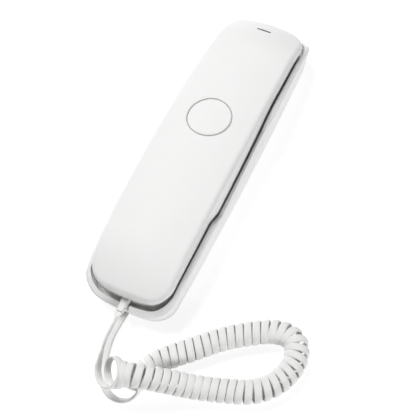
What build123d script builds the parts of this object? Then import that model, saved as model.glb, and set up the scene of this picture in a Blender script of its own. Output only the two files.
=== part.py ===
"""Slimline wall phone: a one-piece handset lying in a shallow wall or desk base, with its curly cord.

The phone lies on its back: X is its width, Y its length with the earpiece end at +Y, and Z points
out of its front. Z = 0 is the surface that its rubber feet stand on. Lengths are in millimetres.
"""

import os
from math import pi, radians, tan

from build123d import *

# ---- handset outside -------------------------------------------------------------------------
HANDSET_HALF_WIDTH = 28.5
HANDSET_HALF_LENGTH = 106.0
SIDE_BULGE = 2.0            # how far the long sides bow outwards
END_BULGE = 3.0             # how far the ends bow outwards
CORNER_RADIUS = 14.0
CROWN_HEIGHT = 43.7         # highest point of the front face
CROWN_RISE = 4.0            # the face's rise across its width
CROWN_DEPTH = 38.0          # how far the crowned solid reaches down
END_ARC_LENGTH = 34.0       # the front falls away over this length at each end
MID_ARC_DROP = 3.9          # how far the nearly flat stretch between the ends falls
END_ARC_RADIUS = 65.0
FACE_EDGE_RADIUS = 4.0
SEAM_EDGE_RADIUS = 0.5
HANDSET_WALL = 2.2
ROOF_EXTRA = 0.6            # the cover is thicker under its front than at its sides
PAST_END = 14.0             # long profiles run this far past the handset
TOOL_TOP = 80.0             # cutting tools end above everything

# The seam round the handset's side, along its length: Y, height, corner radius.
STEP_FROM, STEP_TO = -46.5, -36.5
SEAM = [
    (-HANDSET_HALF_LENGTH - PAST_END, 4.0, 0.0),
    (-HANDSET_HALF_LENGTH + 5.0, 22.0, 16.0),
    (-HANDSET_HALF_LENGTH + 18.0, 25.6, 30.0),
    (STEP_FROM, 30.3, 7.0),
    (STEP_TO, 25.2, 7.0),
    (43.0, 32.4, 30.0),
    (HANDSET_HALF_LENGTH - 26.0, 28.4, 30.0),
    (HANDSET_HALF_LENGTH - 5.0, 22.0, 16.0),
    (HANDSET_HALF_LENGTH + PAST_END, 4.0, 0.0),
]
EAR_RIM_DROP = 1.0          # base rim below the seam at the two ears
GRIP_RIM_DROP = 2.6         # base rim below the seam between the ears
GRIP_TO = 28.0              # the earpiece end's ear starts here
EAR_RAMP = 3.0              # half length of the rim's ramp at that ear
EAR_RAMP_RADIUS = 4.0

# ---- handset inner face ------------------------------------------------------------------------
FACE_INSET = 1.6            # the inner shell is narrower than the cover
FACE_WALL = 2.0
PLATEAU_BOTTOM = 16.0       # keypad face
PAD_BOTTOM = 9.0            # earpiece and mouthpiece pads
PAD_RAMP = 9.0
RAMP_RADIUS = 3.0
FACE_SOFT_EDGE = 1.2
INNER_END = HANDSET_HALF_LENGTH - FACE_INSET - FACE_WALL

# ---- jacks and plugs ----------------------------------------------------------------------------
JACK_OUTER = (10.4, 12.0, 7.6)      # width, depth, height of a four-way handset jack
SOCKET = (8.0, 9.0, 5.6)
JACK_SETBACK = 0.2          # the jack clears the bowed end wall
JACK_FIT = 0.1              # the back plate fits round the jacks
PLUG_GAP = 0.15
PLUG_OUT = 0.8              # the plug's body stands this far out of its jack
HANDSET_BOOT, BASE_BOOT = 11.0, 8.6
BOOT_WIDE, BOOT_NARROW, BOOT_HIGH = 5.4, 4.4, 3.4
BOOT_FLARE = 0.8            # the boot is this much higher at the plug
LINE_JACK_OUTER = (13.4, 13.0, 9.4)
LINE_SOCKET = (9.8, 10.0, 6.8)
LINE_JACK_X = 15.5
CORD_JACK_MOUTH_Y = -48.0   # both jacks under the base open here
JACK_LIFT = 0.6             # the base's jacks stand this far above the back plate's underside
BAY_LENGTH, BAY_MARGIN = 22.0, 1.0
CHANNEL_WIDTH, CHANNEL_TOP = 6.4, 5.2
NOTCH_SIDE, NOTCH_BELOW = 0.8, 1.0  # room in the base's rim round the handset plug's boot
HANDSET_JACK_MOUTH_Y = -INNER_END + JACK_SETBACK
HANDSET_JACK_Z = PAD_BOTTOM + FACE_WALL
HANDSET_PLUG_Z = HANDSET_JACK_Z + JACK_OUTER[2] / 2
HANDSET_PLUG_TIP = HANDSET_JACK_MOUTH_Y - PLUG_OUT - HANDSET_BOOT

# ---- inside the handset --------------------------------------------------------------------------
RECEIVER_RADIUS, RECEIVER_HEIGHT = 12.2, 8.0
RECEIVER_END_GAP, RECEIVER_RAMP_GAP = 0.9, 1.1
GASKET_THICK, GASKET_WIDTH = 1.0, 3.0
RECEIVER_HOLES, RECEIVER_HOLE = 7.2, 0.9    # radius of the outer ring of holes, and of one hole
MIC_RADIUS, MIC_HEIGHT = 4.85, 5.0
MIC_HOLES, MIC_HOLE = 2.4, 0.7
BOOT_WALL = 1.6
MIC_JACK_GAP, MIC_RAMP_GAP = 3.75, 3.55
MIC_Y = HANDSET_JACK_MOUTH_Y + JACK_OUTER[1] + MIC_JACK_GAP + BOOT_WALL + MIC_RADIUS
RECEIVER_Y = INNER_END - RECEIVER_END_GAP - RECEIVER_RADIUS
PLATEAU_FROM = MIC_Y + MIC_RADIUS + BOOT_WALL + MIC_RAMP_GAP + PAD_RAMP
PLATEAU_TO = RECEIVER_Y - RECEIVER_RADIUS - RECEIVER_RAMP_GAP - PAD_RAMP
SCREW_RADIUS, SCREW_HEAD_RADIUS, SCREW_HEAD = 1.25, 2.5, 1.3
SCREW_LENGTH = 7.0
BOSS_RADIUS = 3.0
BOSS_END_GAP = 1.5
SCREW_GAP = 0.05
HANDSET_SCREW_YS = (-43.0, 39.5)
WEIGHT_SIZE = (14.0, 9.0, 8.0)
WEIGHT_X = BOSS_RADIUS + 1.5 + WEIGHT_SIZE[0] / 2     # a weight on each side of each boss

# ---- base ----------------------------------------------------------------------------------------
FLOOR_SIDE_MARGIN = -0.4    # the floor's outline against the handset's, at the sides
FLOOR_END_MARGIN = 2.0      # the same at the ends
FLOOR_HALF_WIDTH = HANDSET_HALF_WIDTH + FLOOR_SIDE_MARGIN
FLOOR_HALF_LENGTH = HANDSET_HALF_LENGTH + FLOOR_END_MARGIN
FLARE_SIDE = 5.4            # outward lean of the side walls over FLARE_HEIGHT
FLARE_END = 8.4             # the same at the two ends
FLARE_HEIGHT = 34.0
WELL_BOTTOM_GAP = 0.5       # side gap between inner shell and well, low down
WELL_LOW = 6.0
WELL_TOP_GAP = 1.35         # side gap between cover and well at FLARE_HEIGHT
WELL_END_GAP = 4.5          # end gap at FLARE_HEIGHT
WELL_END_GAP_LOW = 1.2
BASE_WALL = 2.0
FOOT_DROP = 1.2             # the back plate stands this far off the surface
PLATE_TOP = 3.4
PLATE_EDGE_RADIUS = 0.8
LIP_GAP, LIP_WIDTH, LIP_HEIGHT = 0.2, 1.4, 1.2
BED_TOP = 13.2              # cradle floor under the keypad
PAD_REST = 0.3              # clearance under the two pads
BED_SHORTER = 1.0           # the bed ends this far before the keypad face does
RIM_RADIUS = 2.0
GRIP_HALF_WIDTH = 30.7      # side walls between the ears
GRIP_TOOL = 6.0             # how far the grip cut starts outside them
GRIP_LOWER_RUN = (15.0, 7.0)    # the cut's start and end before STEP_TO
GRIP_UPPER_RUN = (21.0, -3.0)   # the same after GRIP_TO
GRIP_RADII = (12.0, 40.0)

# ---- front details -------------------------------------------------------------------------------
RING_Y = 14.0
RING_RADIUS = 14.2
RING_WIDTH = 0.8
RING_PROUD = 0.25
INLAY_DEPTH = 1.1
WINDOW_FROM_END = 11.5
WINDOW_LENGTH, WINDOW_WIDTH = 9.6, 1.3
WINDOW_DEPTH = 3.0
WINDOW_Y = HANDSET_HALF_LENGTH - WINDOW_FROM_END

# ---- keypad --------------------------------------------------------------------------------------
KEY_PITCH_X, KEY_PITCH_Y = 14.0, 11.0
KEY_SIZE = (10.0, 6.6)
FUNCTION_KEY_SIZE = (10.0, 4.6)
KEY_CORNER, KEY_EDGE = 1.5, 0.4
KEY_TOP_ROW_Y = 14.0
FUNCTION_ROW_Y = 26.5
KEY_PROUD = 1.4
KEY_GAP = 0.3
KEY_TRAVEL = 1.0
KEY_FLANGE = 0.8
KEY_FLANGE_THICK = 0.8
MAT_THICK = 1.2
BOARD_THICK = 1.6
BOARD_CORNER = 2.0
KEYPAD_BOARD = (44.0, 66.0)
KEYPAD_BOARD_Y = 1.0
POST_RADIUS, POST_INSET = 1.6, 2.5
FLANGE_Z = PLATEAU_BOTTOM + FACE_WALL + KEY_GAP
MAT_Z = FLANGE_Z + KEY_FLANGE_THICK + KEY_TRAVEL + KEY_GAP

# ---- inside the base -----------------------------------------------------------------------------
STUD_SPACING = 83.0
KEYHOLE_Y = -8.0
KEYHOLE_RADIUS, KEYHOLE_SLOT_RADIUS, KEYHOLE_RUN = 4.2, 2.2, 8.5
FOOT_RADIUS, FOOT_THICK = 5.0, 1.7
FOOT_X, FOOT_Y = FLOOR_HALF_WIDTH - 11.1, FLOOR_HALF_LENGTH - 18.0
TAB_SIZE, TAB_HEIGHT = (9.0, 1.8), 5.6
TAB_SLOT_MARGIN = (1.2, 1.0)
TAB_Y = PLATEAU_TO - 4.8
HOOK_SIZE, HOOK_TRAVEL = (7.0, 11.0), 2.8
HOOK_FLANGE, HOOK_FLANGE_THICK = 1.5, 1.2
HOOK_CORNER, HOOK_TOP_RADIUS = 2.2, 0.8
HOOK_GAP = 0.3
HOOK_STOP_GAP = 0.2
HOOK_Y = TAB_Y - 8.2
HOOK_FLANGE_Z = BED_TOP - BASE_WALL - HOOK_TRAVEL - HOOK_STOP_GAP - HOOK_FLANGE_THICK
SWITCH_BODY = (6.4, 12.8)
SMALL_CORNER = 0.8
MAIN_BOARD = (33.0, 62.0)
BOARD_SWITCH_GAP = 4.1
MAIN_BOARD_Z = 6.6
MAIN_BOARD_Y = HOOK_Y - SWITCH_BODY[1] / 2 - BOARD_SWITCH_GAP - MAIN_BOARD[1] / 2
SOUNDER_RADIUS, SOUNDER_HEIGHT = 11.0, 2.4
SOUNDER_Y = MAIN_BOARD_Y + 9.5
BASE_SCREW_X, BASE_SCREW_YS = 20.5, (-30.0, PLATEAU_TO - 7.0)
RINGER_Y, RINGER_Z, RINGER_TRAVEL = -10.0, 6.8, 3.0
RINGER_KNOB = (4.4, 4.0, 2.8)
RINGER_PLATE = (1.2, 7.0, 3.8)
RINGER_GAP = 0.3
RINGER_SET_IN, RINGER_PLATE_GAP = 0.6, 0.7

# ---- curly cord ----------------------------------------------------------------------------------
LEAD_DIAMETER = 3.6
COIL_DIAMETER = 14.4
LYING = 0.1                 # a lying cord's clearance over the surface
COIL_Z = COIL_DIAMETER / 2 + LYING
LEAD_Z = LEAD_DIAMETER / 2 + LYING
CORD_GAP = 0.3              # between the plug, which moves, and the lead
CORD_JACK_Z = FOOT_DROP + JACK_LIFT
BASE_PLUG_Z = CORD_JACK_Z + JACK_OUTER[2] / 2
BASE_PLUG_TIP = CORD_JACK_MOUTH_Y - PLUG_OUT - BASE_BOOT


def plan(half_width, half_length, corner):
    """Barrel-shaped outline: four shallow arcs with rounded corners."""
    x, y = half_width - SIDE_BULGE, half_length - END_BULGE
    sides = [
        ThreePointArc((x, -y), (half_width, 0), (x, y)),
        ThreePointArc((x, y), (0, half_length), (-x, y)),
        ThreePointArc((-x, y), (-half_width, 0), (-x, -y)),
        ThreePointArc((-x, -y), (0, -half_length), (x, -y)),
    ]
    face = Face(Wire(sides))
    return fillet(face.vertices(), corner)


def column(half_width, half_length, corner, low, high):
    """Upright solid with the barrel outline, from one height to another."""
    return extrude(Pos(0, 0, low) * plan(half_width, half_length, corner), high - low)


def above(line):
    """Everything above a long profile given as (Y, Z, corner radius) points."""
    points = [(0, y, z) for y, z, _ in line]
    radii = [r for _, _, r in line[1:-1]]
    bottom = FilletPolyline(*points, radius=radii)
    start, end = points[0], points[-1]
    rest = Polyline(end, (0, end[1], TOOL_TOP), (0, start[1], TOOL_TOP), start)
    face = Face(Wire(bottom.edges() + rest.edges()))
    return extrude(face, TOOL_TOP, dir=(1, 0, 0), both=True)


def crown_height(y):
    """Height of the front face on its centre line."""
    mid = HANDSET_HALF_LENGTH - END_ARC_LENGTH
    radius = (mid**2 + MID_ARC_DROP**2) / (2 * MID_ARC_DROP)
    y = abs(y)
    if y <= mid:
        return CROWN_HEIGHT - radius + (radius**2 - y**2) ** 0.5
    slope_y = mid * END_ARC_RADIUS / radius
    centre_y = mid - slope_y
    centre_z = CROWN_HEIGHT - MID_ARC_DROP - (END_ARC_RADIUS**2 - slope_y**2) ** 0.5
    return centre_z + (END_ARC_RADIUS**2 - (y - centre_y) ** 2) ** 0.5


def crown_body(shift):
    """Solid under the front face, whose long profile is three arcs and whose cross profile is one."""
    reach = HANDSET_HALF_LENGTH + PAST_END / 2
    mid = HANDSET_HALF_LENGTH - END_ARC_LENGTH
    half = (mid + reach) / 2
    path = Wire([
        ThreePointArc((0, -reach, crown_height(reach)), (0, -half, crown_height(half)),
                      (0, -mid, crown_height(mid))),
        ThreePointArc((0, -mid, crown_height(mid)), (0, 0, CROWN_HEIGHT), (0, mid, crown_height(mid))),
        ThreePointArc((0, mid, crown_height(mid)), (0, half, crown_height(half)),
                      (0, reach, crown_height(reach))),
    ])
    width = HANDSET_HALF_WIDTH * 1.15
    rise = CROWN_RISE * (width / HANDSET_HALF_WIDTH) ** 2
    depth = CROWN_DEPTH
    section = Face(Wire([
        ThreePointArc((-width, shift - rise), (0, shift), (width, shift - rise)),
        Line((width, shift - rise), (width, -depth)),
        Line((width, -depth), (-width, -depth)),
        Line((-width, -depth), (-width, shift - rise)),
    ]))
    start = Plane(origin=path @ 0, x_dir=(1, 0, 0), z_dir=path % 0)
    if start.y_dir.Z < 0:
        start = Plane(origin=path @ 0, x_dir=(-1, 0, 0), z_dir=path % 0)
    return sweep(start * section, path)


def rim_line():
    """The base's rim follows the handset's seam a little lower, and lower still between the ears."""
    step = next(i for i, (y, _, _) in enumerate(SEAM) if y > GRIP_TO)
    (y0, z0, _), (y1, z1, _) = SEAM[step - 1], SEAM[step]
    line = [(y, z - (GRIP_RIM_DROP if y == STEP_TO else EAR_RIM_DROP), r) for y, z, r in SEAM]
    ramp = []
    for y, drop in ((GRIP_TO - EAR_RAMP, GRIP_RIM_DROP), (GRIP_TO + EAR_RAMP, EAR_RIM_DROP)):
        seam_z = z0 + (z1 - z0) * (y - y0) / (y1 - y0)
        ramp.append((y, seam_z - drop, EAR_RAMP_RADIUS))
    return line[:step] + ramp + line[step:]


def padded_line(start, end, low, high, ramp):
    """Long profile with a raised stretch between two lower ones."""
    past = HANDSET_HALF_LENGTH + PAST_END
    return [
        (-past, low, 0.0),
        (start - ramp, low, RAMP_RADIUS),
        (start, high, RAMP_RADIUS),
        (end, high, RAMP_RADIUS),
        (end + ramp, low, RAMP_RADIUS),
        (past, low, 0.0),
    ]


def handset_line():
    """Underside of the handset: two pads and the keypad face between them."""
    return padded_line(PLATEAU_FROM, PLATEAU_TO, PAD_BOTTOM, PLATEAU_BOTTOM, PAD_RAMP)


def cradle_line(drop=0.0):
    """Cradle floor: a raised bed under the keypad face and two lower pockets for the pads."""
    start, end = PLATEAU_FROM + BED_SHORTER, PLATEAU_TO - BED_SHORTER
    return padded_line(start, end, PAD_BOTTOM - PAD_REST - drop, BED_TOP - drop, PAD_RAMP - BED_SHORTER)


def lifted(line, rise):
    return [(y, z + rise, r) for y, z, r in line]


def box(x, y, z, size_x, size_y, size_z):
    """Box centred on x and y that stands on height z."""
    return Pos(x, y, z + size_z / 2) * Box(size_x, size_y, size_z)


def rod(x, y, z, radius, height):
    """Upright cylinder that stands on height z."""
    return Pos(x, y, z + height / 2) * Cylinder(radius, height)


def rounded(x, y, z, size, height, corner):
    """Upright rounded block."""
    return extrude(Pos(x, y, z) * RectangleRounded(size[0], size[1], corner), height)


# ---- handset -------------------------------------------------------------------------------------
def border(form, picked):
    """Edges between the picked faces of a form and its other faces."""
    inside = [f.edges() for f in form.faces() if picked(f.normal_at(f.center()).Z)]
    return [e for e in form.edges() if sum(e in edges for edges in inside) == 1]


def cover_outside():
    """Outer form of the handset above the seam, its front edge rounded and its seam edge softened."""
    form = column(HANDSET_HALF_WIDTH, HANDSET_HALF_LENGTH, CORNER_RADIUS, 0, TOOL_TOP) & crown_body(0)
    front = [e for e in border(form, lambda z: z > 0.4) if e.center().Z > PLATEAU_BOTTOM]
    form = fillet(front, FACE_EDGE_RADIUS) & above(SEAM)
    return fillet(border(form, lambda z: z < -0.4), SEAM_EDGE_RADIUS)


def inlay_pocket():
    """Round seat of the trim ring and its disc in the front face."""
    return rod(0, RING_Y, 0, RING_RADIUS, TOOL_TOP) - crown_body(-INLAY_DEPTH)


def window_slot():
    return rounded(0, WINDOW_Y, 0, (WINDOW_LENGTH, WINDOW_WIDTH), TOOL_TOP, WINDOW_WIDTH / 2.01)


def handset_cover():
    inner = column(HANDSET_HALF_WIDTH - HANDSET_WALL, HANDSET_HALF_LENGTH - HANDSET_WALL,
                   CORNER_RADIUS - HANDSET_WALL, 0, TOOL_TOP) & crown_body(-HANDSET_WALL - ROOF_EXTRA)
    shell = cover_outside() - inner
    foot = PLATEAU_BOTTOM + FACE_WALL
    for y in HANDSET_SCREW_YS:
        shell += rod(0, y, foot, BOSS_RADIUS, crown_height(y) - BOSS_END_GAP - foot)
        shell -= rod(0, y, foot, SCREW_RADIUS + SCREW_GAP, SCREW_LENGTH + 1)
    return shell - inlay_pocket() - window_slot()


def grille(y, radius, rings, hole):
    """Drilled holes in concentric rings through a pad."""
    spots = [Pos(0, 0)]
    for ring in range(1, rings + 1):
        spots += [spot for spot in PolarLocations(radius * ring / rings, 6 * ring)]
    return [Pos(0, y, PAD_BOTTOM + FACE_WALL / 2) * spot * Cylinder(hole, FACE_WALL + 2) for spot in spots]


def key_places():
    """Name, X, Y and size of each key, in rows from the earpiece end down."""
    names = ["1", "2", "3", "4", "5", "6", "7", "8", "9", "star", "0", "hash"]
    places = []
    for i, name in enumerate(names):
        x = (i % 3 - 1) * KEY_PITCH_X
        y = KEY_TOP_ROW_Y - (i // 3) * KEY_PITCH_Y
        places.append(("key_" + name, x, y, KEY_SIZE))
    for i, name in enumerate(["mute", "flash", "redial"]):
        places.append(("key_" + name, (i - 1) * KEY_PITCH_X, FUNCTION_ROW_Y, FUNCTION_KEY_SIZE))
    return places


def handset_face():
    """Inner shell that the ear and mouth touch, with grilles, key holes and the jack's mouth."""
    width, length = HANDSET_HALF_WIDTH - FACE_INSET, HANDSET_HALF_LENGTH - FACE_INSET
    corner = CORNER_RADIUS - FACE_INSET
    solid = column(width, length, corner, 0, TOOL_TOP) & above(handset_line())
    solid = fillet(border(solid, lambda z: z < -0.4), FACE_SOFT_EDGE) - above(SEAM)
    hollow = column(width - FACE_WALL, length - FACE_WALL, corner - FACE_WALL, 0, TOOL_TOP)
    shell = solid - (hollow & above(lifted(handset_line(), FACE_WALL)))
    through = PLATEAU_BOTTOM - 1, FACE_WALL + 2
    for _, x, y, size in key_places():
        shell -= rounded(x, y, through[0], grown(size, KEY_GAP, KEY_GAP), through[1], KEY_CORNER + KEY_GAP)
    holes = grille(RECEIVER_Y, RECEIVER_HOLES, 2, RECEIVER_HOLE) + grille(MIC_Y, MIC_HOLES, 1, MIC_HOLE)
    for tool in holes:
        shell -= tool
    for y in HANDSET_SCREW_YS:
        shell -= rod(0, y, through[0], SCREW_HEAD_RADIUS + SCREW_GAP, SCREW_HEAD + 1)
        shell -= rod(0, y, through[0], SCREW_RADIUS + SCREW_GAP, through[1])
    shell -= rounded(0, TAB_Y, through[0], grown(TAB_SIZE, *TAB_SLOT_MARGIN), through[1], 1.2)
    shell += board_posts()
    low = HANDSET_PLUG_Z - SOCKET[2] / 2
    return shell - box(0, -length, low, SOCKET[0], 2 * (FACE_WALL + JACK_SETBACK), SOCKET[2])


def grown(size, margin_x, margin_y):
    return size[0] + 2 * margin_x, size[1] + 2 * margin_y


def board_posts():
    """Posts on the inner shell that carry the keypad mat and its board."""
    foot = PLATEAU_BOTTOM + FACE_WALL
    half_x, half_y = KEYPAD_BOARD[0] / 2 - POST_INSET, KEYPAD_BOARD[1] / 2 - POST_INSET
    spots = [(x, KEYPAD_BOARD_Y + y) for x in (-half_x, half_x) for y in (-half_y, half_y)]
    return [rod(x, y, foot, POST_RADIUS, MAT_Z - foot) for x, y in spots]


def key(x, y, size):
    """Key cap with a flange that keeps it behind the inner shell."""
    bottom = PLATEAU_BOTTOM - KEY_PROUD
    cap = rounded(x, y, bottom, size, FLANGE_Z - bottom, KEY_CORNER)
    cap = chamfer(cap.faces().sort_by(Axis.Z)[0].edges(), KEY_EDGE)
    return cap + rounded(x, y, FLANGE_Z, grown(size, KEY_FLANGE, KEY_FLANGE), KEY_FLANGE_THICK, KEY_CORNER)


def jack(outer, socket, x, mouth_y, z):
    """Moulded jack with its socket open towards -Y."""
    body = box(x, mouth_y + outer[1] / 2, z, *outer)
    low = z + (outer[2] - socket[2]) / 2
    return body - box(x, mouth_y + socket[1] / 2 - 0.5, low, socket[0], socket[1] + 1, socket[2])


def plug(mouth_y, z, boot_length):
    """Four-way plug pushed home in its jack, with a tapered boot on the cord."""
    width, height = SOCKET[0] - 2 * PLUG_GAP, SOCKET[2] - 2 * PLUG_GAP
    depth = SOCKET[1] - PLUG_GAP + PLUG_OUT
    body = box(0, mouth_y - PLUG_OUT + depth / 2, z - height / 2, width, depth, height)
    wide = Plane(origin=(0, mouth_y - PLUG_OUT, z), x_dir=(1, 0, 0), z_dir=(0, -1, 0))
    sections = [
        wide * RectangleRounded(BOOT_WIDE, BOOT_HIGH + BOOT_FLARE, SMALL_CORNER),
        wide.offset(boot_length) * RectangleRounded(BOOT_NARROW, BOOT_HIGH, SMALL_CORNER),
    ]
    return body + loft(sections)


def screw(x, y, head_z):
    """Pan screw that points up, its head flush with the shell's underside."""
    head = rod(x, y, head_z, SCREW_HEAD_RADIUS, SCREW_HEAD)
    return head + rod(x, y, head_z + SCREW_HEAD, SCREW_RADIUS, SCREW_LENGTH)


# ---- base ----------------------------------------------------------------------------------------
def base_loft(inset, low, high):
    """Flared outer form of the base, or the same form set in by a wall."""
    def outline(z):
        share = z / FLARE_HEIGHT
        return Pos(0, 0, z) * plan(FLOOR_HALF_WIDTH + FLARE_SIDE * share - inset,
                                   FLOOR_HALF_LENGTH + FLARE_END * share - inset, CORNER_RADIUS - inset)
    return loft([outline(low), outline(high)], ruled=True)


def well():
    """Room for the handset: it leans out with the walls."""
    low = Pos(0, 0, WELL_LOW) * plan(HANDSET_HALF_WIDTH - FACE_INSET + WELL_BOTTOM_GAP,
                                     HANDSET_HALF_LENGTH + WELL_END_GAP_LOW, CORNER_RADIUS)
    high = Pos(0, 0, FLARE_HEIGHT) * plan(HANDSET_HALF_WIDTH + WELL_TOP_GAP,
                                          HANDSET_HALF_LENGTH + WELL_END_GAP, CORNER_RADIUS)
    return loft([low, high], ruled=True) & above(cradle_line())


def grip_cut():
    """The side walls step in between the ears, so that fingers reach round the handset."""
    reach = GRIP_HALF_WIDTH + GRIP_TOOL
    lower, upper = (STEP_TO - run for run in GRIP_LOWER_RUN), (GRIP_TO + run for run in GRIP_UPPER_RUN)
    (lower_out, lower_in), (upper_out, upper_in) = lower, upper
    inside = FilletPolyline((reach, lower_out), (GRIP_HALF_WIDTH, lower_in), (GRIP_HALF_WIDTH, upper_in),
                            (reach, upper_out), radius=GRIP_RADII)
    outline = Wire(inside.edges() + Line((reach, upper_out), (reach, lower_out)).edges())
    tool = extrude(Face(outline), TOOL_TOP, dir=(0, 0, 1))
    return [tool, mirror(tool, Plane.YZ)]


def base_form():
    """Outer form of the base above the back plate, with its soft rim."""
    form = base_loft(0, PLATE_TOP, FLARE_HEIGHT) - above(rim_line())
    rim = [e for e in border(form, lambda z: z > 0.4) if e.center().Z > PLATE_TOP + 1]
    form = fillet(rim, RIM_RADIUS)
    for tool in grip_cut():
        form -= tool
    return form


def base_screw_spots():
    return [(x, y) for x in (-BASE_SCREW_X, BASE_SCREW_X) for y in BASE_SCREW_YS]


def base_shell():
    """Cradle with the handset's well on top and room for the innards below."""
    form = base_form() - well()
    shell = form - (base_loft(BASE_WALL, PLATE_TOP - 1, FLARE_HEIGHT) - above(cradle_line(BASE_WALL)))
    for x, y in base_screw_spots():
        shell += rod(x, y, PLATE_TOP, BOSS_RADIUS, BED_TOP - BASE_WALL / 2 - PLATE_TOP)
        shell -= rod(x, y, PLATE_TOP, SCREW_RADIUS + SCREW_GAP, SCREW_LENGTH)
    hole = grown(HOOK_SIZE, HOOK_GAP, HOOK_GAP)
    shell -= rounded(0, HOOK_Y, BED_TOP - 2 * BASE_WALL, hole, 3 * BASE_WALL, HOOK_CORNER + HOOK_GAP)
    end = -FLOOR_HALF_LENGTH
    shell -= box(0, end, 0, CHANNEL_WIDTH, FLARE_END + 2 * BASE_WALL, CHANNEL_TOP)
    low = HANDSET_PLUG_Z - BOOT_HIGH / 2 - NOTCH_BELOW
    shell -= box(0, end, low, BOOT_WIDE + 2 * NOTCH_SIDE, 2 * FLARE_END, TOOL_TOP)
    slot_length = RINGER_KNOB[1] + 2 * RINGER_TRAVEL + 2 * RINGER_GAP
    slot_height = RINGER_KNOB[2] + 2 * RINGER_GAP
    return shell - box(-FLOOR_HALF_WIDTH, RINGER_Y, RINGER_Z - slot_height / 2, 8, slot_length, slot_height)


def keyhole(y):
    big = rod(0, y, 0, KEYHOLE_RADIUS, TOOL_TOP)
    slot = box(0, y + KEYHOLE_RUN / 2, 0, 2 * KEYHOLE_SLOT_RADIUS, KEYHOLE_RUN, TOOL_TOP)
    return big + slot + rod(0, y + KEYHOLE_RUN, 0, KEYHOLE_SLOT_RADIUS, TOOL_TOP)


def foot_spots():
    return [(x, y) for x in (-FOOT_X, FOOT_X) for y in (-FOOT_Y, FOOT_Y)]


def rear_cover():
    """Back plate with its keyholes, jack bay and cord channel."""
    plate = base_loft(0, FOOT_DROP, PLATE_TOP)
    plate = fillet(plate.faces().sort_by(Axis.Z)[0].edges(), PLATE_EDGE_RADIUS)
    lip = base_loft(BASE_WALL + LIP_GAP, PLATE_TOP, PLATE_TOP + LIP_HEIGHT)
    plate += lip - base_loft(BASE_WALL + LIP_GAP + LIP_WIDTH, PLATE_TOP - 1, PLATE_TOP + 2)
    for y in (KEYHOLE_Y, KEYHOLE_Y + STUD_SPACING):
        plate -= keyhole(y)
    for x, y in base_screw_spots():
        plate -= rod(x, y, 0, SCREW_HEAD_RADIUS + SCREW_GAP, FOOT_DROP + SCREW_HEAD)
        plate -= rod(x, y, 0, SCREW_RADIUS + SCREW_GAP, TOOL_TOP)
    for x, y in foot_spots():
        plate -= rod(x, y, 0, FOOT_RADIUS, FOOT_THICK)
    bay_y = CORD_JACK_MOUTH_Y - BAY_LENGTH / 2
    for x, outer in ((0, JACK_OUTER), (LINE_JACK_X, LINE_JACK_OUTER)):
        plate -= box(x, bay_y, 0, outer[0] + 2 * BAY_MARGIN, BAY_LENGTH, TOOL_TOP)
        width, depth = grown(outer, JACK_FIT, JACK_FIT)
        plate -= box(x, CORD_JACK_MOUTH_Y + outer[1] / 2, 0, width, depth, TOOL_TOP)
    reach = FLOOR_HALF_LENGTH + FLARE_END
    return plate - box(0, (bay_y - reach) / 2, 0, CHANNEL_WIDTH, reach + bay_y, TOOL_TOP)


def hook_button():
    """Cradle button that the lying handset holds down."""
    height = PLATEAU_BOTTOM - HOOK_GAP - HOOK_FLANGE_Z
    stem = rounded(0, HOOK_Y, HOOK_FLANGE_Z, HOOK_SIZE, height, HOOK_CORNER)
    stem = fillet(stem.faces().sort_by(Axis.Z)[-1].edges(), HOOK_TOP_RADIUS)
    wide = grown(HOOK_SIZE, HOOK_FLANGE, HOOK_FLANGE)
    return stem + rounded(0, HOOK_Y, HOOK_FLANGE_Z, wide, HOOK_FLANGE_THICK, HOOK_CORNER)


def ringer_switch():
    """Ringer volume slider in the left side wall."""
    wall_x = -(FLOOR_HALF_WIDTH + FLARE_SIDE * RINGER_Z / FLARE_HEIGHT)
    knob = box(wall_x + RINGER_SET_IN, RINGER_Y, RINGER_Z - RINGER_KNOB[2] / 2, *RINGER_KNOB)
    plate_x = wall_x + BASE_WALL + RINGER_PLATE_GAP + RINGER_PLATE[0] / 2
    return knob + box(plate_x, RINGER_Y, RINGER_Z - RINGER_PLATE[2] / 2, *RINGER_PLATE)


# ---- cord ----------------------------------------------------------------------------------------
def tube(points, diameter, name):
    """Tube along straight runs joined by tangent arcs as large as the runs allow."""
    radii = []
    spots = [Vector(p) for p in points]
    for a, b, c in zip(spots, spots[1:], spots[2:]):
        turn = (b - a).get_angle(c - b)
        shorter = min((b - a).length, (c - b).length)
        radii.append(0.45 * shorter / tan(radians(turn) / 2))
    path = Wire(FilletPolyline(*points, radius=radii).edges())
    start = Plane(origin=path @ 0, z_dir=path % 0)
    solid = sweep(start * Circle(diameter / 2), path)
    expected = pi * diameter**2 / 4 * path.length
    print(name, "length", round(path.length, 1), "volume ratio", round(solid.volume / expected, 4),
          "radii", [round(r, 1) for r in radii])
    return solid


def from_plug(points):
    """Points whose Y is given from the tip of the handset's plug."""
    return [(x, HANDSET_PLUG_TIP + y, z) for x, y, z in points]


def lead_a_route():
    """From the handset's plug through the air to the coil's first turn, which lies on the coil's end."""
    return from_plug([
        (0.0, -CORD_GAP, HANDSET_PLUG_Z),
        (0.3, -5.6, HANDSET_PLUG_Z + 0.1),
        (2.2, -12.5, 16.4),
        (5.0, -20.0, 19.4),
        (8.2, -27.6, 23.4),
        (11.3, -34.4, 27.0),
    ])


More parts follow.
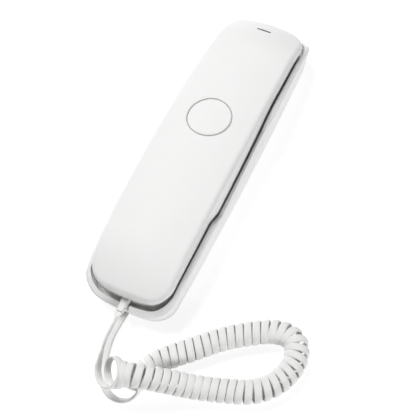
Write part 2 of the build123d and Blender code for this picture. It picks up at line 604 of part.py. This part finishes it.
def coil_route():
    """Axis of the coil: over its own other end, down to the table, out, round and back."""
    z = COIL_Z
    return from_plug([
        (9.5, -39.6, 23.0),
        (19.5, -37.2, 23.0),
        (31.5, -33.0, 22.4),
        (45.0, -28.0, 15.6),
        (60.0, -22.6, 8.8),
        (76.0, -17.2, z),
        (91.0, -12.0, z),
        (102.0, -2.0, z),
        (107.6, 12.5, z),
        (103.0, 27.0, z),
        (89.0, 29.0, z),
        (73.5, 20.2, z),
        (59.5, 10.2, z),
        (48.5, -1.2, z),
        (38.0, -10.6, z),
        (30.0, -20.0, z),
        (26.0, -32.0, z),
        (22.0, -43.0, z),
    ])


def lead_b_route():
    """From the coil's other end along the table and through the channel to the base's jack."""
    outside = from_plug([
        (22.0, -43.0, COIL_Z),
        (17.0, -47.6, 4.6),
        (10.6, -45.0, LEAD_Z + 0.1),
        (7.2, -37.0, LEAD_Z),
        (4.6, -28.5, LEAD_Z),
        (2.6, -19.5, LEAD_Z),
        (0.8, -11.0, LEAD_Z),
        (-0.4, -2.0, LEAD_Z),
    ])
    return outside + [
        (0.1, BASE_PLUG_TIP - 42.6, LEAD_Z),
        (-0.1, BASE_PLUG_TIP - 26.6, LEAD_Z + 0.6),
        (0.1, BASE_PLUG_TIP - 12.6, LEAD_Z + 3.0),
        (0.0, BASE_PLUG_TIP, BASE_PLUG_Z),
    ]


# ---- the parts -----------------------------------------------------------------------------------
def front_parts():
    """Cover and the pieces let into its front."""
    seat = inlay_pocket()
    disc = rod(0, RING_Y, 0, RING_RADIUS - RING_WIDTH, TOOL_TOP)
    return {
        "handset_cover": handset_cover(),
        "trim_ring": (seat - disc) & crown_body(RING_PROUD),
        "front_disc": (seat & disc) & crown_body(0),
        "indicator_window": (window_slot() & crown_body(0)) - crown_body(-WINDOW_DEPTH),
    }


def keypad_parts():
    parts = {name: key(x, y, size) for name, x, y, size in key_places()}
    parts["keypad_mat"] = rounded(0, KEYPAD_BOARD_Y, MAT_Z, KEYPAD_BOARD, MAT_THICK, BOARD_CORNER)
    board_z = MAT_Z + MAT_THICK
    parts["keypad_board"] = rounded(0, KEYPAD_BOARD_Y, board_z, KEYPAD_BOARD, BOARD_THICK, BOARD_CORNER)
    return parts


def handset_parts():
    """Inner shell and what stands on it."""
    pad_floor, face_floor = PAD_BOTTOM + FACE_WALL, PLATEAU_BOTTOM + FACE_WALL
    gasket = rod(0, RECEIVER_Y, pad_floor, RECEIVER_RADIUS, GASKET_THICK)
    gasket -= rod(0, RECEIVER_Y, pad_floor, RECEIVER_RADIUS - GASKET_WIDTH, GASKET_THICK)
    capsule = rod(0, RECEIVER_Y, pad_floor + GASKET_THICK, RECEIVER_RADIUS, RECEIVER_HEIGHT)
    microphone = rod(0, MIC_Y, pad_floor, MIC_RADIUS, MIC_HEIGHT)
    weights = [box(x, y, face_floor, *WEIGHT_SIZE) for x in (-WEIGHT_X, WEIGHT_X) for y in HANDSET_SCREW_YS]
    return {
        "handset_face": handset_face(),
        "receiver_gasket": gasket,
        "receiver_capsule": fillet(capsule.edges().sort_by(Axis.Z)[-1], 1.0),
        "microphone": microphone,
        "microphone_boot": rod(0, MIC_Y, pad_floor, MIC_RADIUS + BOOT_WALL, MIC_HEIGHT) - microphone,
        "ballast_weights": Compound(children=weights),
        "handset_screws": Compound(children=[screw(0, y, PLATEAU_BOTTOM) for y in HANDSET_SCREW_YS]),
        "handset_jack": jack(JACK_OUTER, SOCKET, 0, HANDSET_JACK_MOUTH_Y, HANDSET_JACK_Z),
        "handset_plug": plug(HANDSET_JACK_MOUTH_Y, HANDSET_PLUG_Z, HANDSET_BOOT),
    }


def base_parts():
    switch_height = HOOK_FLANGE_Z - HOOK_GAP - PLATE_TOP
    feet = [rod(x, y, 0, FOOT_RADIUS, FOOT_THICK) for x, y in foot_spots()]
    return {
        "base_shell": base_shell(),
        "rear_cover": rear_cover(),
        "hook_button": hook_button(),
        "hook_switch": rounded(0, HOOK_Y, PLATE_TOP, SWITCH_BODY, switch_height, SMALL_CORNER),
        "hang_tab": rounded(0, TAB_Y, BED_TOP, TAB_SIZE, TAB_HEIGHT, SMALL_CORNER),
        "main_board": box(0, MAIN_BOARD_Y, MAIN_BOARD_Z, *MAIN_BOARD, BOARD_THICK),
        "ringer_sounder": rod(0, SOUNDER_Y, MAIN_BOARD_Z + BOARD_THICK, SOUNDER_RADIUS, SOUNDER_HEIGHT),
        "ringer_switch": ringer_switch(),
        "cord_jack": jack(JACK_OUTER, SOCKET, 0, CORD_JACK_MOUTH_Y, CORD_JACK_Z),
        "base_plug": plug(CORD_JACK_MOUTH_Y, BASE_PLUG_Z, BASE_BOOT),
        "line_jack": jack(LINE_JACK_OUTER, LINE_SOCKET, LINE_JACK_X, CORD_JACK_MOUTH_Y, CORD_JACK_Z),
        "cover_screws": Compound(children=[screw(x, y, FOOT_DROP) for x, y in base_screw_spots()]),
        "rubber_feet": Compound(children=feet),
    }


def cord_parts():
    return {
        "lead_to_handset": tube(lead_a_route(), LEAD_DIAMETER, "lead_to_handset"),
        "curly_cord": tube(coil_route(), COIL_DIAMETER, "curly_cord"),
        "lead_to_base": tube(lead_b_route(), LEAD_DIAMETER, "lead_to_base"),
    }


def main():
    os.makedirs("parts", exist_ok=True)
    for parts in (front_parts(), keypad_parts(), handset_parts(), base_parts(), cord_parts()):
        for name, shape in parts.items():
            export_step(shape, f"parts/{name}.step")


main()
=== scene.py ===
# %% [markdown]
# # A white slimline wall phone
#
# The phone lies on its back: a long rounded handset sits in a shallow base, and a curly cord
# runs from the handset's lower end to a jack under the base. The rigid pieces come from the CAD
# frame at their real size. This notebook gives them their finishes, adds the cord with its real
# flat band and the small moulded details, and sets the studio. All lengths are in metres.

# %% Load the frame
import math

import bpy
import numpy as np
from mathutils import Matrix, Vector


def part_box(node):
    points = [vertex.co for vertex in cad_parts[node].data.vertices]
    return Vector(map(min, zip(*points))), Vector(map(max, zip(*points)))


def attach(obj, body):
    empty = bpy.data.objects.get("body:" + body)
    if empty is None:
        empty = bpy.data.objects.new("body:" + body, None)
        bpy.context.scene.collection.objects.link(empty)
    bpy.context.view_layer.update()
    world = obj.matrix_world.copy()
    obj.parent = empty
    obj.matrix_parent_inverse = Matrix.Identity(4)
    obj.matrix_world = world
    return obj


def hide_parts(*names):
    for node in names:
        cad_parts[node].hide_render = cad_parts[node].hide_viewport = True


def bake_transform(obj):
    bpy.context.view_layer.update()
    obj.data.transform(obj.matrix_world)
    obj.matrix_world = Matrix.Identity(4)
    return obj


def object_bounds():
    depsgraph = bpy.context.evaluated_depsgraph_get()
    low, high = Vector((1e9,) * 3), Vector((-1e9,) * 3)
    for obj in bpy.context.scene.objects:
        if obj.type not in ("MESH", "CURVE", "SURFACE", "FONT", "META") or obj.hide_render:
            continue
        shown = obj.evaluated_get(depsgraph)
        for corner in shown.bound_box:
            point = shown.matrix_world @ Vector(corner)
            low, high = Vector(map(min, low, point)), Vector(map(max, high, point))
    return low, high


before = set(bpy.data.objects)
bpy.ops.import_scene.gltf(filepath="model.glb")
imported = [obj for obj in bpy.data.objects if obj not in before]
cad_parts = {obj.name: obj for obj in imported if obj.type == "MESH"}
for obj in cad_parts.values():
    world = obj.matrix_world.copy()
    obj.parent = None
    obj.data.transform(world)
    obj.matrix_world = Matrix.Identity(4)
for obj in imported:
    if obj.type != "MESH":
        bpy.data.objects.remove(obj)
cad_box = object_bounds()
low, high = (np.array(corner) for corner in cad_box)
print("CAD box in mm", np.round(low * 1000, 1), np.round(high * 1000, 1))

# %% [markdown]
# ## Camera
#
# A product picture of a long thing is taken with a long lens, so that its two ends look alike.
# The camera stands to the right of the mouthpiece end and looks down steeply. Its place is a
# distance along a direction from a point on the phone, and its roll is a turn about that line.

# %% Camera
AZIMUTH, ELEVATION, ROLL = (math.radians(a) for a in (33.994, 59.839, -9.759))
DISTANCE = 0.700
LOOK_AT = Vector((0.0212, -0.0338, 0.020))
SENSOR, LENS = 36, 98.91
CLIP = 0.01, 20


def camera_matrix():
    """Rotation whose third column points back from the target, rolled about it."""
    back = Vector((math.sin(AZIMUTH) * math.cos(ELEVATION),
                   -math.cos(AZIMUTH) * math.cos(ELEVATION), math.sin(ELEVATION)))
    level = Vector((math.cos(AZIMUTH), math.sin(AZIMUTH), 0))
    upward = back.cross(level)
    right = math.cos(ROLL) * level + math.sin(ROLL) * upward
    up = math.cos(ROLL) * upward - math.sin(ROLL) * level
    turn = Matrix((right, up, back)).transposed()
    return Matrix.Translation(LOOK_AT + back * DISTANCE) @ turn.to_4x4()


camera = bpy.data.objects.new("studio_camera", bpy.data.cameras.new("studio_camera"))
camera.data.sensor_width = SENSOR
camera.data.lens = LENS
camera.data.clip_start, camera.data.clip_end = CLIP
camera.matrix_world = camera_matrix()
bpy.context.collection.objects.link(camera)
bpy.context.scene.camera = camera
print("camera at", np.round(camera.location, 3))

# %% [markdown]
# ## The curly cord's line
#
# The cord is one flat white band. It leaves the handset's plug, runs up to the coil, goes round
# some fifty times, and comes back along the table to the base. First come the lines that it
# follows: smooth NURBS splines through the air and along the table. Reading a spline with no
# bevel gives its points, which every later step uses.

# %% Routes of the leads and of the coil's axis
MM = 0.001
BAND_WIDTH, BAND_THICK = 4.5 * MM, 1.9 * MM
COIL_OUTER = 14.4 * MM
TURN_PITCH = 4.95 * MM
SPLINE_STEPS = 24
LEAD_POINTS, AXIS_POINTS, FLOOR_LEAD_POINTS = 80, 2400, 200

LEAD_TO_HANDSET = [
    (0.0, -114.3, 14.8), (0.2, -119.5, 15.2), (1.1, -126.5, 17.6), (2.5, -133.5, 21.0),
    (4.1, -139.8, 22.9), (5.3, -145.5, 21.6), (5.9, -150.6, 18.5),
]
COIL_AXIS = [
    (13.3, -152.4, 23.0), (21.0, -150.9, 23.0), (31.5, -147.0, 22.4), (45.0, -142.0, 15.6),
    (60.0, -136.6, 8.8), (76.0, -131.2, 7.3), (91.0, -126.0, 7.3), (101.2, -116.0, 7.3),
    (106.4, -101.5, 7.3), (102.2, -87.0, 7.3), (89.0, -85.0, 7.3), (73.5, -93.8, 7.3),
    (59.5, -103.8, 7.3), (48.5, -115.2, 7.3), (38.0, -124.6, 7.3), (30.0, -134.0, 7.3),
    (26.0, -145.5, 7.3), (21.5, -154.0, 7.3),
]
LEAD_TO_BASE = [
    (21.2, -159.8, 3.4), (16.6, -159.4, 2.3), (10.8, -156.6, 1.7), (5.6, -150.6, 1.6),
    (2.3, -143.0, 1.7), (0.0, -135.0, 1.8), (-1.8, -126.5, 1.9), (-1.8, -116.5, 1.9),
    (0.1, -100.0, 1.9), (-0.1, -84.0, 2.5), (0.1, -70.0, 4.9), (0.0, -57.4, 5.6),
]


def spline_points(name, control):
    """Points of a smooth NURBS line of order 3 that starts and ends at its end points."""
    curve = bpy.data.curves.new(name, "CURVE")
    curve.dimensions = "3D"
    curve.resolution_u = SPLINE_STEPS
    spline = curve.splines.new("NURBS")
    spline.points.add(len(control) - 1)
    spline.points.foreach_set("co", np.c_[np.array(control) * MM, np.ones(len(control))].ravel())
    spline.order_u = 3
    spline.use_endpoint_u = True
    holder = bpy.data.objects.new(name, curve)
    mesh = bpy.data.meshes.new_from_object(holder)
    line = np.empty(len(mesh.vertices) * 3)
    mesh.vertices.foreach_get("co", line)
    bpy.data.meshes.remove(mesh)
    bpy.data.objects.remove(holder)
    bpy.data.curves.remove(curve)
    return line.reshape(-1, 3)


def running_length(line):
    return np.r_[0, np.cumsum(np.linalg.norm(np.diff(line, axis=0), axis=1))]


def evenly(line, count):
    """The same line with that many points, a fixed step of its running length apart."""
    reach = running_length(line)
    at = np.linspace(0, reach[-1], count)
    return np.stack([np.interp(at, reach, line[:, k]) for k in range(3)], 1)


def unit(v):
    return v / np.linalg.norm(v, axis=-1, keepdims=True)


lead_up = evenly(spline_points("lead_up", LEAD_TO_HANDSET), LEAD_POINTS)
axis_line = evenly(spline_points("coil_axis", COIL_AXIS), AXIS_POINTS)
lead_back = evenly(spline_points("lead_back", LEAD_TO_BASE), FLOOR_LEAD_POINTS)
print("axis length", round(running_length(axis_line)[-1], 4))

# %% [markdown]
# ## The turns of the coil
#
# Each point of the coil stands off its axis by the turn radius, at an angle that falls by one full
# turn per pitch, so the coil is left-handed. The end turns are wider than the others and lean
# back, so that they show as rings, and the last is looser too.

# %% Helix
FIRST_ANGLE, LAST_ANGLE = math.radians(-45), math.radians(-90)
END_FLARE = 2.6 * MM
FLARE_REACH, FLARE_FALL = 8.0 * MM, 4
LOOSE_END = 0.5
START_FACES, END_FACES = (-0.29, 0.43, -0.89), (0.42, -0.63, 1.30)
FLOOR_GAP = 0.3 * MM
TURN_POINTS = 44


def end_share(away):
    """1 at an end of the coil, falling to 0 past the flare: exp(-(distance / reach) ^ fall)."""
    return np.exp(-(away / FLARE_REACH) ** FLARE_FALL)


def coil_turns(line):
    """Centre line of the turns and its outward directions: axis + radius (side cos + up sin)."""
    reach = running_length(line)
    first, last = end_share(reach), end_share(reach[-1] - reach)
    flare = first + last
    along = unit(np.gradient(line, axis=0))
    along = unit(along + first[:, None] * START_FACES + last[:, None] * END_FACES)
    side = unit(np.c_[-along[:, 1], along[:, 0], np.zeros(len(line))])
    up = np.cross(along, side)
    density = (1 - LOOSE_END * last) / TURN_PITCH
    phase = np.r_[0, np.cumsum(0.5 * (density[1:] + density[:-1]) * np.diff(reach))]
    part_turn = (FIRST_ANGLE - LAST_ANGLE) / (2 * math.pi)
    turns = round(phase[-1] - part_turn) + part_turn
    phase *= turns / phase[-1]
    fine = np.linspace(0, turns, round(turns * TURN_POINTS) + 1)
    at = np.interp(fine, phase, np.arange(len(line)))

    def pick(values):
        columns = values.reshape(len(line), -1).T
        return np.stack([np.interp(at, np.arange(len(line)), c) for c in columns], 1)

    radius = (COIL_OUTER - BAND_THICK) / 2 + END_FLARE * pick(flare)
    centre = pick(line)
    lowest = radius[:, 0] + BAND_THICK / 2 + FLOOR_GAP
    centre[:, 2] = np.maximum(centre[:, 2], lowest)
    angle = (FIRST_ANGLE - 2 * math.pi * fine)[:, None]
    outward = pick(side) * np.cos(angle) + pick(up) * np.sin(angle)
    return centre + radius * outward, unit(outward), turns


coil, coil_outward, turn_count = coil_turns(axis_line)
print("turns", turn_count, "helix length", round(running_length(coil)[-1], 3))

# %% [markdown]
# ## The band
#
# One oval section is carried along the whole line. On the coil its flat side faces out. The lead
# from the handset starts flat, turns on edge, and leans over to meet the first turn. The lead to
# the base leans where it leaves the last turn and then lies flat. The turns are in half circles.

# %% Band along the line
SECTION_POINTS = 16
CORNER_FULLNESS = 0.75
UP_PLACES, UP_TURNS = [0, 0.02, 0.12, 0.75, 1], [0, 0, 0.47, 0.47, 0.702]
BACK_PLACES, BACK_TURNS = [0, 0.12], [1.227, 1]
JOINT_REACH, JOINT_PASSES = 9, 6
HANDSET_LEAD_POINTS = 66


def lead_outward(line, turned):
    """Direction of the band's flat side on a lead, turned about the line by given angles."""
    along = unit(np.gradient(line, axis=0))
    level = unit(np.cross(along, (0, 0, 1)))
    upward = np.cross(level, along)
    return upward * np.cos(turned)[:, None] + level * np.sin(turned)[:, None]


def band_mesh(name, line, outward, wide=BAND_WIDTH, thick=BAND_THICK):
    """Tube of a flat section: line + wide/2 across cos^fullness + thick/2 outward sin^fullness."""
    along = unit(np.gradient(line, axis=0))
    flat = unit(outward - along * np.sum(outward * along, 1)[:, None])
    across = np.cross(along, flat)
    around = np.linspace(0, 2 * math.pi, SECTION_POINTS, endpoint=False)
    c, s = np.cos(around), np.sin(around)
    c, s = (np.sign(part) * np.abs(part) ** CORNER_FULLNESS for part in (c, s))
    ring = (line[:, None] + across[:, None] * (c * wide / 2)[None, :, None]
            + flat[:, None] * (s * thick / 2)[None, :, None])
    n, m = ring.shape[:2]
    start = np.arange((n - 1) * m).reshape(n - 1, m)
    nxt = np.roll(start, -1, axis=1)
    quads = np.stack([start, nxt, nxt + m, start + m], -1).reshape(-1, 4)
    caps = [list(range(m))[::-1], list(range((n - 1) * m, n * m))]
    mesh = bpy.data.meshes.new(name)
    mesh.from_pydata(ring.reshape(-1, 3), [], quads.tolist() + caps)
    mesh.shade_smooth()
    piece = bpy.data.objects.new(name, mesh)
    bpy.context.collection.objects.link(piece)
    return piece


def band_turn(line, places, half_circles):
    """Angle of the band along a lead, between given angles at given shares of its length."""
    reach = running_length(line)
    return np.interp(reach / reach[-1], places, half_circles) * math.pi


def ease(values, joint, finished):
    """Values near a joint become (before + 2 x itself + after) / 4, several times over."""
    inner = slice(joint - JOINT_REACH, joint + JOINT_REACH + 1)
    outer = slice(joint - JOINT_REACH - 1, joint + JOINT_REACH + 2)
    for _ in range(JOINT_PASSES):
        near = values[outer]
        values[inner] = finished((near[:-2] + 2 * near[1:-1] + near[2:]) / 4)


up_outward = lead_outward(lead_up, band_turn(lead_up, UP_PLACES, UP_TURNS))
back_outward = lead_outward(lead_back, band_turn(lead_back, BACK_PLACES, BACK_TURNS))
whole = np.concatenate([lead_up[:-1], coil, lead_back[1:]])
outwards = np.concatenate([up_outward[:-1], coil_outward, back_outward[1:]])
for joint in (len(lead_up) - 1, len(lead_up) + len(coil) - 2):
    ease(whole, joint, np.asarray)
    ease(outwards, joint, unit)

lead_line, cord_line = whole[:HANDSET_LEAD_POINTS + 1], whole[HANDSET_LEAD_POINTS:]
handset_lead = band_mesh("handset_lead", lead_line, outwards[:HANDSET_LEAD_POINTS + 1])
curly = band_mesh("curly_band", cord_line, outwards[HANDSET_LEAD_POINTS:])
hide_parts("lead_to_handset")
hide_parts("curly_cord", "lead_to_base")
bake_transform(handset_lead)
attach(curly, "base")
print("cord length in m", round(running_length(whole)[-1], 3))

# %% [markdown]
# ## Materials
#
# Every finish is a small shader over the object's own coordinates: a base colour that varies a
# little, roughness that varies with it, and a fine bump such as a mould leaves.

# %% Shader tools


class Wire:
    """A shader value that takes part in sums and products."""

    def __init__(self, tree, socket):
        self.tree, self.socket = tree, socket

    def math(self, operation, other):
        node = self.tree.nodes.new("ShaderNodeMath")
        node.operation = operation
        self.tree.links.new(self.socket, node.inputs[0])
        if isinstance(other, Wire):
            self.tree.links.new(other.socket, node.inputs[1])
        else:
            node.inputs[1].default_value = other
        return Wire(self.tree, node.outputs[0])

    def __add__(self, other):
        return self.math("ADD", other)

    def __mul__(self, other):
        return self.math("MULTIPLY", other)

    __radd__, __rmul__ = __add__, __mul__


class Finish:
    """A material under construction, with its principled shader and object coordinates."""

    def __init__(self, name, **fixed):
        self.material = bpy.data.materials.new(name)
        self.material.use_nodes = True
        self.tree = self.material.node_tree
        self.shader = self.tree.nodes["Principled BSDF"]
        for key, value in fixed.items():
            self.shader.inputs[key.replace("_", " ")].default_value = value
        self.place = self.node("ShaderNodeTexCoord").outputs["Object"]

    def node(self, kind, **settings):
        made = self.tree.nodes.new(kind)
        for key, value in settings.items():
            if key in made.inputs:
                made.inputs[key].default_value = value
            else:
                setattr(made, key, value)
        return made

    def noise(self, scale, detail=3.0):
        made = self.node("ShaderNodeTexNoise", Scale=scale, Detail=detail)
        self.tree.links.new(self.place, made.inputs["Vector"])
        return Wire(self.tree, made.outputs["Fac"])

    def colour(self, value, low, high):
        ramp = self.node("ShaderNodeMix", data_type="RGBA")
        self.tree.links.new(value.socket, ramp.inputs["Factor"])
        ramp.inputs["A"].default_value = (*low, 1)
        ramp.inputs["B"].default_value = (*high, 1)
        self.tree.links.new(ramp.outputs["Result"], self.shader.inputs["Base Color"])
        return self

    def rough(self, value):
        self.tree.links.new(value.socket, self.shader.inputs["Roughness"])
        return self

    def bump(self, value, distance, strength=0.5):
        made = self.node("ShaderNodeBump", Strength=strength, Distance=distance)
        self.tree.links.new(value.socket, made.inputs["Height"])
        self.tree.links.new(made.outputs["Normal"], self.shader.inputs["Normal"])
        return self


BROAD_SCALE, GRAIN_DETAIL = 60, 4
ROUGH_SPREAD = 0.12


def moulded(name, low, high, rough, grain, depth, **fixed):
    """Moulded finish: colour between two tones by broad noise, grain in roughness and bump."""
    finish = Finish(name, **fixed)
    broad, fine = finish.noise(BROAD_SCALE), finish.noise(grain, GRAIN_DETAIL)
    finish.colour(broad, low, high)
    finish.rough(fine * ROUGH_SPREAD + rough)
    finish.bump(fine, depth)
    return finish.material


FINISHES = {
    "white_shell": moulded("white_plastic", (0.86, 0.86, 0.855), (0.89, 0.89, 0.885),
        rough=0.24, grain=2600, depth=0.00001, Coat_Weight=0.15),
    "keycap_grey": moulded("keycap_plastic", (0.56, 0.57, 0.58), (0.61, 0.62, 0.63),
        rough=0.34, grain=3000, depth=0.00002),
    "keypad_rubber": moulded("keypad_rubber", (0.16, 0.16, 0.17), (0.2, 0.2, 0.21),
        rough=0.55, grain=1800, depth=0.00003),
    "chrome_ring": moulded("polished_ring", (0.44, 0.43, 0.42), (0.52, 0.51, 0.50),
        rough=0.05, grain=900, depth=0.000004, Metallic=1.0),
    "dark_window": moulded("smoked_window", (0.004, 0.004, 0.005), (0.008, 0.008, 0.009),
        rough=0.08, grain=900, depth=0.000004, Specular_IOR_Level=0.1),
    "circuit_board": moulded("circuit_board", (0.02, 0.12, 0.05), (0.04, 0.2, 0.08),
        rough=0.4, grain=1500, depth=0.00004),
    # dark_plastic is the real print of the key marks. On the handset's inner shell (handset_face)
    # it is painted shade that makes the gap between handset and base show black.
    "dark_plastic": moulded("dark_plastic", (0.018, 0.018, 0.02), (0.03, 0.03, 0.032),
        rough=0.38, grain=2200, depth=0.00002),
    "soft_rubber": moulded("soft_rubber", (0.05, 0.05, 0.052), (0.08, 0.08, 0.082),
        rough=0.62, grain=1600, depth=0.00004),
    "steel": moulded("zinc_steel", (0.5, 0.5, 0.51), (0.6, 0.6, 0.6),
        rough=0.22, grain=1900, depth=0.00002, Metallic=1.0),
    "brass": moulded("brass_metal", (0.6, 0.42, 0.16), (0.7, 0.52, 0.22),
        rough=0.22, grain=1900, depth=0.00002, Metallic=1.0),
    "clear_plug": moulded("clear_plug", (0.8, 0.8, 0.79), (0.88, 0.88, 0.87),
        rough=0.14, grain=1400, depth=0.00001, Transmission_Weight=0.3, IOR=1.5),
    "cord_vinyl": moulded("cord_vinyl", (0.84, 0.84, 0.83), (0.88, 0.88, 0.87),
        rough=0.36, grain=2400, depth=0.00002),
}
print("finishes", ", ".join(FINISHES))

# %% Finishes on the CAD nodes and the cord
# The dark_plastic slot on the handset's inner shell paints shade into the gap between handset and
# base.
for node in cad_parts.values():
    for slot in node.material_slots:
        slot.material = FINISHES[slot.material.name.split(".")[0]]
for piece in (handset_lead, curly):
    piece.data.materials.append(FINISHES["cord_vinyl"])

# %% [markdown]
# ## Marks on the keys
#
# The keys face the cradle, so the marks are read from below. Each is a very thin raised figure.

# %% Key marks
MARKS = {"star": "*", "hash": "#", "mute": "M", "flash": "F", "redial": "R"}
MARK_SIZE, MARK_HEIGHT = 4.4 * MM, 0.06 * MM


def key_mark(node_name, text):
    """Flat figure on the key's outer face, turned to be read from below."""
    curve = bpy.data.curves.new(node_name + "_text", "FONT")
    curve.body = text
    curve.size = MARK_SIZE
    curve.extrude = MARK_HEIGHT
    curve.resolution_u = 3
    curve.align_x, curve.align_y = "CENTER", "CENTER"
    holder = bpy.data.objects.new(node_name + "_text", curve)
    mesh = bpy.data.meshes.new_from_object(holder)
    bpy.data.objects.remove(holder)
    bpy.data.curves.remove(curve)
    spots = np.empty(len(mesh.vertices) * 3)
    mesh.vertices.foreach_get("co", spots)
    spots = spots.reshape(-1, 3)
    spots[:, :2] -= (spots[:, :2].max(0) + spots[:, :2].min(0)) / 2
    low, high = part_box(node_name)
    middle = ((low[0] + high[0]) / 2, (low[1] + high[1]) / 2, low[2])
    spots = spots * (-1, 1, -1) + middle
    mesh.vertices.foreach_set("co", spots.ravel())
    mesh.materials.append(FINISHES["dark_plastic"])
    mark = bpy.data.objects.new(node_name + "_mark", mesh)
    bpy.context.collection.objects.link(mark)
    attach(mark, node_name)
    return mark


marks = [key_mark(name, MARKS.get(name[4:], name[4:])) for name in sorted(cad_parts)
         if name.startswith("key_")]
print("key marks", len(marks))

# %% [markdown]
# ## Studio
#
# The phone lies on white. A pale floor takes a faint contact shadow and lights the walls a little.
# A broad key light stands above on the left, a low fill on the right, and a dim surround does the
# rest.

# %% Floor
FLOOR_HALF = 1.5
FLOOR_PATTERN, FLOOR_DARK, FLOOR_PALE = 3, (0.38, 0.38, 0.38), (0.4, 0.4, 0.4)
FLOOR_SEEN, FLOOR_GLOW = 0.8, 0.4


def seen_directly(tree):
    """1 for rays that show the background itself: camera + glossy + transmission, at most 1."""
    rays = tree.nodes.new("ShaderNodeLightPath")
    seen = Wire(tree, rays.outputs["Is Camera Ray"])
    for kind in ("Is Glossy Ray", "Is Transmission Ray"):
        seen = seen.math("MAXIMUM", Wire(tree, rays.outputs[kind]))
    return seen


def floor_piece():
    mesh = bpy.data.meshes.new("studio_floor")
    corners = [(-FLOOR_HALF, -FLOOR_HALF, 0), (FLOOR_HALF, -FLOOR_HALF, 0),
               (FLOOR_HALF, FLOOR_HALF, 0), (-FLOOR_HALF, FLOOR_HALF, 0)]
    mesh.from_pydata(corners, [], [(0, 1, 2, 3)])
    piece = bpy.data.objects.new("studio_floor", mesh)
    bpy.context.collection.objects.link(piece)
    finish = Finish("studio_white", Roughness=1.0)
    finish.shader.inputs["Emission Color"].default_value = (1, 1, 1, 1)
    glow = seen_directly(finish.tree) * (FLOOR_SEEN - FLOOR_GLOW) + FLOOR_GLOW
    finish.tree.links.new(glow.socket, finish.shader.inputs["Emission Strength"])
    finish.shader.inputs["Specular IOR Level"].default_value = 0.0
    finish.colour(finish.noise(FLOOR_PATTERN), FLOOR_DARK, FLOOR_PALE)
    mesh.materials.append(finish.material)
    return piece


floor = floor_piece()

# %% Lights and surround
LAMP_AIM = Vector((0.02, -0.03, 0.02))
LAMP_DISTANCE = 1.5
SURROUND = 0.06


def lamp(name, direction, power, size):
    """Square lamp that stands in a direction from the phone, faces it and isn't mirrored."""
    light = bpy.data.lights.new(name, "AREA")
    light.energy, light.size = power, size
    made = bpy.data.objects.new(name, light)
    towards = Vector(direction).normalized()
    made.location = LAMP_AIM + towards * LAMP_DISTANCE
    made.rotation_euler = (-towards).to_track_quat("-Z", "Y").to_euler()
    made.visible_glossy = False
    bpy.context.collection.objects.link(made)


lamp("studio_key", (-0.45, 0.22, 0.87), power=22.5, size=0.8)
lamp("studio_fill", (0.82, -0.50, 0.28), power=11.0, size=0.5)


def surround_world():
    """White where it is seen or mirrored, and an even grey as light."""
    world = bpy.data.worlds.new("studio_surround")
    world.use_nodes = True
    nodes, links = world.node_tree.nodes, world.node_tree.links
    nodes.clear()
    seen, unseen = nodes.new("ShaderNodeBackground"), nodes.new("ShaderNodeBackground")
    unseen.inputs["Strength"].default_value = SURROUND
    for shade in (seen, unseen):
        shade.inputs["Color"].default_value = (1, 1, 1, 1)
    mix, output = nodes.new("ShaderNodeMixShader"), nodes.new("ShaderNodeOutputWorld")
    links.new(seen_directly(world.node_tree).socket, mix.inputs[0])
    links.new(unseen.outputs[0], mix.inputs[1])
    links.new(seen.outputs[0], mix.inputs[2])
    links.new(mix.outputs[0], output.inputs["Surface"])
    bpy.context.scene.world = world


surround_world()
bpy.context.scene.view_settings.view_transform = "Standard"
